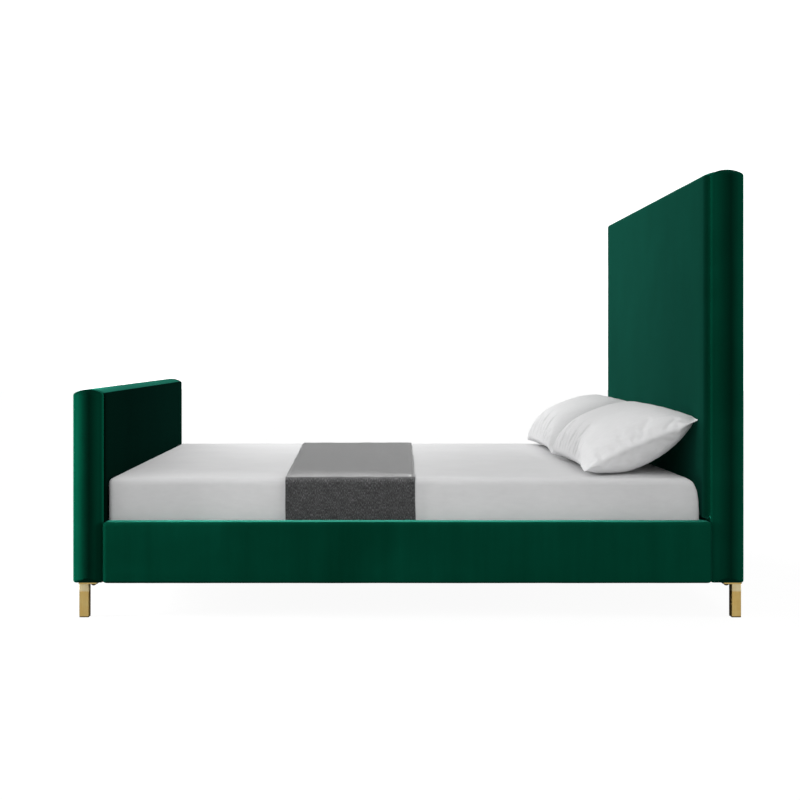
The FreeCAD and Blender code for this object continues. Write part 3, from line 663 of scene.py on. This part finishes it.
def case_steps(count):
    """Even steps from -1 to 1, drawn closer together near both ends."""
    bunch = math.radians(72)
    return [math.sin(bunch * (2 * k / count - 1)) / math.sin(bunch) for k in range(count + 1)]


def sewn_case(name, cotton):
    """Two full panels sewn together round their edge; the seam's points are in the group 'seam'."""
    across, along = case_steps(112), case_steps(56)
    points, faces = [], []
    for layer in (1, -1):
        base = len(points)
        points += [case_shape(u, v, layer) for u in along for v in across]
        for face in quads(len(along), len(across), False):
            face = face if layer < 0 else face[::-1]
            faces.append(tuple(base + k for k in face))
    case = outward(add_mesh(name, points, faces, cotton), weld=1e-6)
    shape = bmesh.new()
    shape.from_mesh(case.data)
    sewn = [v.index for v in shape.verts if len({f.index < len(faces) // 2 for f in v.link_faces}) == 2]
    shape.free()
    case.vertex_groups.new(name="seam").add(sewn, 1.0, "REPLACE")
    return case


def inflated(case, pressure):
    """Blows the case up as cloth that is a little too large for its seam, and keeps the result."""
    frames, spare, most = 20, 0.03, 14 * MM
    before = np.array([v.co for v in case.data.vertices])
    cloth = case.modifiers.new("fabric", "CLOTH")
    fabric = {"quality": 6, "mass": 0.2, "tension_stiffness": 20, "compression_stiffness": 20,
              "shear_stiffness": 6, "bending_stiffness": 0.15, "shrink_min": -spare, "air_damping": 3,
              "vertex_group_mass": "seam", "use_pressure": True, "uniform_pressure_force": pressure}
    for name, value in fabric.items():
        setattr(cloth.settings, name, value)
    cloth.settings.effector_weights.gravity = 0
    cloth.collision_settings.use_self_collision = False
    scene = bpy.context.scene
    cloth.point_cache.frame_start, cloth.point_cache.frame_end = 1, frames
    for number in range(1, frames + 1):
        scene.frame_set(number)
    applied(case)
    scene.frame_set(1)
    after = np.array([v.co for v in case.data.vertices])
    move = after - before
    length = np.maximum(np.linalg.norm(move, axis=1), 1e-9)[:, None]
    kept = before + move * np.minimum(1, most / length)
    case.data.vertices.foreach_set("co", kept.ravel())
    return case


def gathered(case, seed):
    """Fine gathers fanning from the lower seam, and a piped ridge all round."""
    case.data.update()
    edge = PILLOW_DEPTH / 2
    normals = [Vector(v.normal) for v in case.data.vertices]
    for vertex, normal in zip(case.data.vertices, normals):
        x, y, z = vertex.co
        from_seam = math.hypot(max(0, x + edge - 12 * MM), z)
        fade = math.exp(-from_seam / (36 * MM)) * min(1, from_seam / (6 * MM))
        fan = y * (1 + 1.2 * from_seam)
        pleat = wave((fan, seed, 0.25 * from_seam), 0.024) + 0.5 * wave((fan, seed + 3, 0), 0.05)
        vertex.co = vertex.co + normal * (4.5 * MM * pleat * fade)
    for vertex in case.data.vertices:
        if vertex.groups:
            away = Vector((vertex.co.x, vertex.co.y * 0.62, 0)).normalized()
            vertex.co = vertex.co + away * (4 * MM)


def pressed(value, limit, soft):
    """Keeps value under limit, easing towards it over the last soft metres."""
    if value < limit - soft:
        return value
    return limit - soft * math.exp(-(value - limit + soft) / soft)


def pillow(side, cotton, pressure, seed):
    """One pillow: its case blown up and gathered, then leant on the headboard and pressed on the sheet."""
    low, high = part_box("pillow_" + side)
    case = inflated(sewn_case("pillow_%s_case" % side, cotton), pressure)
    gathered(case, seed)
    finer = case.modifiers.new("finer", "SUBSURF")
    finer.levels = finer.render_levels = 1
    applied(case)
    case.vertex_groups.clear()
    centre = Vector((PILLOW_MIDDLE[0], (low.y + high.y) / 2, PILLOW_MIDDLE[1]))
    rest = SHEET_HIGH.z + 1 * MM
    wall = HEAD_LOW.x - 1.5 * MM
    for vertex in case.data.vertices:
        x, y, z = vertex.co
        place = centre + Vector((x * math.cos(PILLOW_TILT) - z * math.sin(PILLOW_TILT), y,
                                 x * math.sin(PILLOW_TILT) + z * math.cos(PILLOW_TILT)))
        place.z = -pressed(-place.z, -rest, 10 * MM)
        place.x = pressed(place.x, wall, 8 * MM)
        vertex.co = place
    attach(case, "pillow_" + side)
    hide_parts("pillow_" + side)


# ---- materials ----

class Finish:
    """A procedural material: a principled shader and the nodes that feed it."""

    def __init__(self, name, **values):
        self.material = bpy.data.materials.new(name)
        self.material.use_nodes = True
        self.tree = self.material.node_tree
        self.shader = self.tree.nodes["Principled BSDF"]
        for socket, value in values.items():
            self.shader.inputs[socket.replace("_", " ")].default_value = value
        self.place = self.tree.nodes.new("ShaderNodeTexCoord")

    def link(self, value, socket):
        """Feeds a socket from another socket, or sets it to a plain value."""
        if isinstance(value, bpy.types.NodeSocket):
            self.tree.links.new(value, socket)
        else:
            socket.default_value = value

    def node(self, kind, **inputs):
        """A new node with its inputs fed."""
        made = self.tree.nodes.new(kind)
        for name, value in inputs.items():
            self.link(value, made.inputs[name.replace("_", " ")])
        return made

    def stretched(self, scale, source="Object"):
        """Places on the piece, or on its cloth, scaled along each axis."""
        made = self.node("ShaderNodeMapping", Scale=scale)
        self.link(self.place.outputs[source], made.inputs["Vector"])
        return made.outputs["Vector"]

    def noise(self, scale, detail=3.0, vector=None, roughness=0.5, distortion=0.0):
        """Cloudy variation."""
        made = self.node("ShaderNodeTexNoise", Scale=scale, Detail=detail, Roughness=roughness,
                         Distortion=distortion)
        self.link(vector or self.place.outputs["Object"], made.inputs["Vector"])
        return made.outputs["Fac"]

    def threads(self, scale, direction, vector=None):
        """Even bands across a direction."""
        made = self.node("ShaderNodeTexWave", Scale=scale)
        made.bands_direction = direction
        self.link(vector or self.place.outputs["Object"], made.inputs["Vector"])
        return made.outputs["Fac"]

    def facing(self, axis):
        """Which way the surface faces along an axis of the bed: 0 backwards, 0.5 across it, 1 forwards."""
        split = self.tree.nodes.new("ShaderNodeSeparateXYZ")
        self.link(self.place.outputs["Normal"], split.inputs[0])
        return self.maths("ADD", self.maths("MULTIPLY", split.outputs[axis], 0.5), 0.5)

    def ramp(self, value, stops):
        """Colours by value; a stop with one number instead of a colour is a grey."""
        made = self.tree.nodes.new("ShaderNodeValToRGB")
        ramp = made.color_ramp
        while len(ramp.elements) < len(stops):
            ramp.elements.new(0.5)
        for element, (at, colour) in zip(ramp.elements, stops):
            element.position = at
            element.color = (*colour, 1) if isinstance(colour, tuple) else (colour, colour, colour, 1)
        self.link(value, made.inputs["Fac"])
        return made.outputs["Color"]

    def maths(self, operation, a, b):
        """One sum on two values."""
        made = self.tree.nodes.new("ShaderNodeMath")
        made.operation = operation
        for socket, value in zip(made.inputs, (a, b)):
            self.link(value, socket)
        return made.outputs[0]

    def product(self, colour, *others):
        """Colours multiplied together."""
        for other in others:
            made = self.tree.nodes.new("ShaderNodeMix")
            made.data_type = "RGBA"
            made.blend_type = "MULTIPLY"
            sockets = {s.identifier: s for s in made.inputs}
            sockets["Factor_Float"].default_value = 1.0
            self.link(colour, sockets["A_Color"])
            self.link(other, sockets["B_Color"])
            colour = {s.identifier: s for s in made.outputs}["Result_Color"]
        return colour

    def colour(self, socket):
        """The colour of the whole surface."""
        self.link(socket, self.shader.inputs["Base Color"])

    def roughness(self, value, low, high):
        """Roughness from low to high, by a value from 0 to 1."""
        made = self.node("ShaderNodeMapRange", Value=value, To_Min=low, To_Max=high)
        self.link(made.outputs["Result"], self.shader.inputs["Roughness"])

    def bump(self, height, distance, strength=1.0, under=None):
        """Fine relief, over another if there is one under it."""
        made = self.node("ShaderNodeBump", Height=height, Distance=distance, Strength=strength)
        if under:
            self.link(under, made.inputs["Normal"])
        self.link(made.outputs["Normal"], self.shader.inputs["Normal"])
        return made.outputs["Normal"]


def velvet(name, depth, sheen, painted_facing_shade):
    """Emerald pile; its last argument is painted light and shade, which sets the brightness by which way the
    surface faces along the bed.
    """
    finish = Finish(name, Sheen_Weight=sheen, Sheen_Roughness=0.3, Sheen_Tint=(0.12, 1.0, 0.72, 1),
                    Specular_IOR_Level=0.0)
    nap = finish.noise(2.2, 3, roughness=0.55, distortion=0.4)
    streaks = finish.noise(1.0, 4, finish.stretched((14, 14, 1.1)), 0.6)
    pile = finish.noise(900, 2)
    mood = finish.maths("ADD", finish.maths("MULTIPLY", nap, 0.6), finish.maths("MULTIPLY", streaks, 0.4))
    tones = ((0.30, (0.0006, 0.046, 0.024)), (0.55, (0.0012, 0.066, 0.036)), (0.75, (0.0022, 0.086, 0.049)))
    base = finish.ramp(mood, [(at, tuple(c * depth for c in colour)) for at, colour in tones])
    shade = finish.ramp(pile, ((0.25, 0.75), (0.8, 1.0)))
    # painted light and shade: the colour is made brighter or darker by which way the surface faces along the
    # bed
    finish.colour(finish.product(base, shade, finish.ramp(finish.facing(0), painted_facing_shade)))
    finish.roughness(mood, 0.62, 0.82)
    soft = finish.bump(nap, 0.0035, 0.35)
    finish.bump(pile, 0.0003, 0.35, soft)
    return finish.material


def cotton(name, colour, shade, weave):
    """Plain-woven cotton: fine crossed threads, faint slubs and shadowed folds."""
    finish = Finish(name, Sheen_Weight=0.15, Sheen_Roughness=0.5, Specular_IOR_Level=0.2)
    slubs = finish.noise(1.0, 4, finish.stretched((20, 160, 60)), 0.6)
    cloud = finish.noise(6, 3)
    base = finish.ramp(cloud, ((0.3, shade), (0.7, colour)))
    finish.colour(finish.product(base, finish.ramp(slubs, ((0.3, 0.955), (0.7, 1.0)))))
    finish.roughness(slubs, 0.78, 0.92)
    soft = finish.bump(cloud, 0.003, 0.25)
    crossed = finish.maths("ADD", finish.threads(weave, "X"), finish.threads(weave, "Y"))
    finish.bump(crossed, 0.00012, 0.5, soft)
    return finish.material


def throw_wool():
    """Grey melange wool in a coarse plain weave, with painted light that makes its top paler, and fuzzy at a
    glancing angle.
    """
    finish = Finish("throw_wool", Sheen_Weight=1.0, Sheen_Roughness=0.3, Sheen_Tint=(1.0, 1.0, 1.0, 1),
                    Specular_IOR_Level=0.1)
    cloth = finish.place.outputs["UV"]
    weave = finish.maths("MULTIPLY", finish.threads(110, "X", cloth), finish.threads(110, "Y", cloth))
    melange = finish.noise(1.0, 5, finish.stretched((420, 120, 1), "UV"), 0.7)
    patch = finish.noise(38, 4, roughness=0.7)
    yarn = finish.ramp(melange, ((0.30, (0.065, 0.065, 0.066)), (0.52, (0.22, 0.22, 0.224)),
                                 (0.72, (0.72, 0.72, 0.73))))
    tone = finish.ramp(patch, ((0.3, 0.6), (0.7, 1.0)))
    # Painted light: the colour grows paler where the surface faces up.
    brush_marks_and_painted_light = finish.ramp(finish.facing(2), ((0.5, 0.55), (0.95, 1.0)))
    lit = finish.ramp(weave, ((0.0, 0.55), (0.7, 1.0)))
    finish.colour(finish.product(yarn, tone, brush_marks_and_painted_light, lit))
    finish.roughness(melange, 0.85, 1.0)
    soft = finish.bump(patch, 0.002, 0.4)
    finish.bump(weave, 0.0009, 0.7, soft)
    return finish.material


def ticking():
    """Pale quilted mattress fabric."""
    finish = Finish("ticking", Sheen_Weight=0.2, Specular_IOR_Level=0.25)
    quilt = finish.maths("MULTIPLY", finish.threads(2.6, "DIAGONAL"),
                         finish.threads(2.6, "DIAGONAL", finish.stretched((1, -1, 1))))
    knit = finish.noise(700, 2)
    finish.colour(finish.ramp(knit, ((0.3, (0.62, 0.61, 0.58)), (0.7, (0.80, 0.79, 0.76)))))
    finish.roughness(knit, 0.75, 0.9)
    puff = finish.bump(quilt, 0.006, 0.6)
    finish.bump(knit, 0.0003, 0.4, puff)
    return finish.material


def brass(name, dark, light, rough):
    """Brushed brass, unevenly handled."""
    finish = Finish(name, Metallic=1.0, Anisotropic=0.35)
    brush_marks_and_painted_light = finish.noise(1.0, 3, finish.stretched((900, 900, 14)), 0.6)
    handled = finish.noise(30, 4)
    tone = finish.ramp(handled, ((0.3, dark), (0.7, light)))
    finish.colour(finish.product(tone, finish.ramp(brush_marks_and_painted_light, ((0.3, 0.86), (0.7, 1.0)))))
    finish.roughness(brush_marks_and_painted_light, *rough)
    finish.bump(brush_marks_and_painted_light, 0.00008, 0.4)
    return finish.material


def steel(name, light, dark, rough):
    """Plated or burnished steel with faint mottling."""
    finish = Finish(name, Metallic=0.95)
    spangle = finish.noise(260, 3, roughness=0.65)
    finish.colour(finish.ramp(spangle, ((0.35, dark), (0.65, light))))
    finish.roughness(spangle, *rough)
    finish.bump(spangle, 0.0001, 0.3)
    return finish.material


def coated(name, colour, rough, grain):
    """Powder coat or moulded nylon: an even colour under a fine orange-peel grain."""
    finish = Finish(name, Specular_IOR_Level=0.4)
    peel = finish.noise(grain, 2)
    dust = finish.noise(40, 3)
    paler = tuple(c * 1.5 + 0.004 for c in colour)
    finish.colour(finish.ramp(dust, ((0.3, colour), (0.8, paler))))
    finish.roughness(dust, *rough)
    finish.bump(peel, 0.0002, 0.5)
    return finish.material


def timber(name, along, light, dark):
    """Planed softwood with its grain along X, Y or Z."""
    finish = Finish(name, Specular_IOR_Level=0.3)
    across = {"X": (1.2, 26, 26), "Y": (26, 1.2, 26), "Z": (26, 26, 1.2)}[along]
    rings = finish.noise(1.0, 5, finish.stretched(across), 0.6, 0.6)
    fibre = finish.noise(1.0, 3, finish.stretched(tuple(24 * s for s in across)), 0.7)
    middle = tuple((a + b) / 2 for a, b in zip(light, dark))
    base = finish.ramp(rings, ((0.30, dark), (0.48, middle), (0.62, light)))
    tone = finish.ramp(fibre, ((0.3, (0.82, 0.80, 0.78)), (0.7, 1.0)))
    finish.colour(finish.product(base, tone))
    finish.roughness(fibre, 0.5, 0.72)
    finish.bump(fibre, 0.0003, 0.35)
    return finish.material


def nonwoven():
    """Black spun dust cloth with random fibres."""
    finish = Finish("dust_cloth", Sheen_Weight=0.2, Specular_IOR_Level=0.2)
    fibres = finish.noise(420, 4, roughness=0.8, distortion=1.5)
    finish.colour(finish.ramp(fibres, ((0.3, 0.006), (0.75, (0.032, 0.032, 0.034)))))
    finish.roughness(fibres, 0.7, 0.9)
    finish.bump(fibres, 0.0003, 0.5)
    return finish.material


def webbing():
    """Flat woven tape."""
    finish = Finish("webbing", Sheen_Weight=0.2)
    weave = finish.maths("MULTIPLY", finish.threads(150, "X"), finish.threads(150, "Y"))
    finish.colour(finish.ramp(weave, ((0.0, (0.42, 0.40, 0.36)), (0.8, (0.70, 0.68, 0.63)))))
    finish.roughness(weave, 0.9, 0.75)
    finish.bump(weave, 0.0005, 0.6)
    return finish.material


def dress_nodes(finishes):
    """Gives every CAD node that still shows its finish."""
    grain = {"stile": "Z", "face_panel": "Z", "centre_leg_foot": "Z", "centre_leg_head": "Z", "dowels": "Z",
             "side_rail_board": "X", "cleat": "X", "centre_beam": "X"}
    for part in frame["record"]["subparts"]:
        node, name = part["node"], part["material_slot"]
        if name in ("pine", "plywood"):
            along = next((axis for word, axis in grain.items() if word in node), "Y")
            name = "%s_%s" % (name, along)
        if name in finishes:
            mesh = frame["nodes"][node].data
            mesh.materials.clear()
            mesh.materials.append(finishes[name])


# ---- stage ----

SKY = (((0, 0, 1), 0.93), ((0, -1, 0), 0.48))     # where soft light comes from, and how much


def sky():
    """Soft surrounding light: broad pools of white, each strongest towards its own direction."""
    world = bpy.data.worlds.new("studio")
    bpy.context.scene.world = world
    world.use_nodes = True
    tree = world.node_tree
    place = tree.nodes.new("ShaderNodeTexCoord")
    total = tree.nodes.new("ShaderNodeValue").outputs[0]
    total.default_value = 0.0
    for towards, power in SKY:
        facing = tree.nodes.new("ShaderNodeVectorMath")
        facing.operation = "DOT_PRODUCT"
        facing.inputs[1].default_value = [power * t for t in towards]
        lit = tree.nodes.new("ShaderNodeMath")
        lit.operation = "MAXIMUM"
        lit.inputs[1].default_value = 0.0
        added = tree.nodes.new("ShaderNodeMath")
        tree.links.new(place.outputs["Generated"], facing.inputs[0])
        tree.links.new(facing.outputs["Value"], lit.inputs[0])
        tree.links.new(lit.outputs[0], added.inputs[0])
        tree.links.new(total, added.inputs[1])
        total = added.outputs[0]
    tree.links.new(total, tree.nodes["Background"].inputs["Strength"])
    tree.nodes["Background"].inputs["Color"].default_value = (1, 1, 1, 1)


def lamp(name, kind, strength, place, towards):
    """A light at its place that shines from the direction given."""
    holder = bpy.data.objects.new(name, bpy.data.lights.new(name, kind))
    holder.data.energy = strength
    holder.location = place
    holder.rotation_euler = Vector(towards).to_track_quat("Z", "Y").to_euler()
    bpy.context.scene.collection.objects.link(holder)
    return holder


def soft_panel(name, place, aim, watts, size):
    """A square light panel, out of the camera's sight, turned to its aim."""
    panel = lamp(name, "AREA", watts, place, Vector(place) - Vector(aim))
    panel.data.size = size
    panel.visible_camera = False


def soft_sun(name, towards, strength, spread):
    """A distant light that shines from the direction given, spread degrees wide."""
    sun = lamp(name, "SUN", strength, (0, 0, 0), towards)
    sun.data.angle = math.radians(spread)


def ring(radius, z, sides):
    """Points round the Z axis."""
    turns = [2 * math.pi * k / sides for k in range(sides)]
    return [(radius * math.cos(t), radius * math.sin(t), z) for t in turns]


def studio():
    """A pale floor and backdrop that take no part in the lighting, and soft light from every side."""
    sky()
    soft_panel("from_the_foot", (-2.3, -0.88, 0.5), (-1.1, -0.8, 0.45), 70, 0.4)
    soft_panel("from_the_near_side", (1.6, -3.2, 0.7), (0.6, -0.8, 0.45), 7, 0.8)
    soft_sun("from_the_head", (1.0, -0.12, 0.12), 2.6, 12)
    soft_panel("behind", (-0.4, 2.3, 1.5), (0.2, 0.4, 0.8), 32, 0.8)

    radius, height, sides = 24.0, 14.0, 96
    paper = Finish("studio_floor", Roughness=0.9, Specular_IOR_Level=0.0, Emission_Strength=0.94)
    paper.colour(paper.ramp(paper.noise(3, 2), ((0.3, 0.075), (0.7, 0.085))))
    wall = Finish("studio_backdrop", Roughness=1.0, Specular_IOR_Level=0.0, Emission_Strength=1.0)
    for glowing in (paper, wall):
        glowing.shader.inputs["Emission Color"].default_value = (1, 1, 1, 1)
    disc = [tuple(range(sides))]
    floor = add_mesh("studio_floor", ring(radius, 0, sides), disc, paper.material, smooth=False)
    rings = ring(radius, -0.01, sides) + ring(radius, height, sides) + [(0, 0, height * 1.6)]
    faces = quads(2, sides, True)
    faces += [(sides + k, sides + (k + 1) % sides, 2 * sides) for k in range(sides)]
    backdrop = add_mesh("studio_backdrop", rings, faces, wall.material, smooth=False)
    for piece in (floor, backdrop):
        piece.visible_diffuse = False
        piece.visible_glossy = False
        piece.visible_shadow = False


def camera():
    """Level view of the bed's right side, its eye 0.9 m up and a little towards the foot."""
    view = bpy.data.cameras.new("camera")
    view.lens = 51.31
    view.sensor_width = 36.0
    view.shift_x = 0.0397
    view.shift_y = -0.0587
    holder = bpy.data.objects.new("camera", view)
    holder.location = (-0.137, cad_low.y - 3.845, 0.896)
    holder.rotation_euler = (math.pi / 2, 0, 0)
    bpy.context.scene.collection.objects.link(holder)
    bpy.context.scene.camera = holder
    bpy.context.scene.view_settings.view_transform = "Standard"


# ---- the whole bed ----

def main():
    """The camera and the light, every piece, and the finish of each CAD part that still shows."""
    camera()
    studio()
    # Painted light and shade for the velvet: brightest nearly across the bed, dimmer where it faces the
    # foot, darkest where it faces the head.
    painted_facing_shade = ((0.0, 0.4), (0.4, 1.0), (0.95, 0.2))
    green = velvet("velvet", 1.0, 0.4, painted_facing_shade)
    # Painted light and shade on the end panels: a brighter copy of the velvet, lit on the rims that turn
    # towards the foot and the head and shaded across the flat middle.
    end_green = velvet("velvet_ends", 1.3, 0.5,
                       ((0.0, 1.0), (0.25, 0.75), (0.42, 0.42), (0.54, 0.2), (0.75, 0.5), (1.0, 0.95)))
    # A darker copy of the velvet with almost no sheen: painted shade for the wraps' faces that turn towards
    # the head.
    velvet_shaded_copy = velvet("velvet_painted_shade", 0.25, 0.03, painted_facing_shade)
    zinc = steel("zinc_steel", (0.62, 0.63, 0.65), (0.45, 0.46, 0.48), (0.3, 0.5))
    gold = brass("brass", (0.93, 0.62, 0.19), (1.0, 0.74, 0.28), (0.24, 0.4))
    # A paler, rougher brass for the leg collars: its paler colour is a painted reflection.
    painted_reflection_gold = brass("brass_painted_reflection", (0.94, 0.76, 0.40), (1.0, 0.86, 0.52), (0.34, 0.5))
    boards(green, end_green, velvet_shaded_copy)
    side_rails(green)
    back_cloth(nonwoven(), zinc)
    for name in ("leg_foot_left", "leg_foot_right", "leg_head_left", "leg_head_right"):
        leg(name, gold, painted_reflection_gold)
    mattress(ticking())
    fitted_sheet(cotton("sheet_cotton", (0.76, 0.76, 0.765), (0.73, 0.73, 0.735), 900))
    throw(throw_wool())
    case_cotton = cotton("pillow_cotton", (0.94, 0.94, 0.945), (0.91, 0.91, 0.915), 1100)
    pillow("right", case_cotton, 3.0, 1.0)
    pillow("left", case_cotton, 3.2, 1.7)
    finishes = {"brass": gold, "zinc_steel": zinc, "webbing": webbing(),
                "dark_steel": steel("dark_steel", (0.10, 0.095, 0.09), (0.05, 0.048, 0.045), (0.3, 0.45)),
                "black_steel": coated("black_steel", (0.012, 0.012, 0.013), (0.4, 0.55), 1200),
                "black_plastic": coated("black_plastic", (0.010, 0.010, 0.010), (0.45, 0.65), 800)}
    for axis in "XYZ":
        finishes["pine_" + axis] = timber("pine_" + axis, axis, (0.62, 0.44, 0.26), (0.42, 0.26, 0.13))
        finishes["plywood_" + axis] = timber("plywood_" + axis, axis, (0.56, 0.40, 0.25), (0.45, 0.31, 0.18))
    dress_nodes(finishes)


main()

bpy.context.view_layer.update()
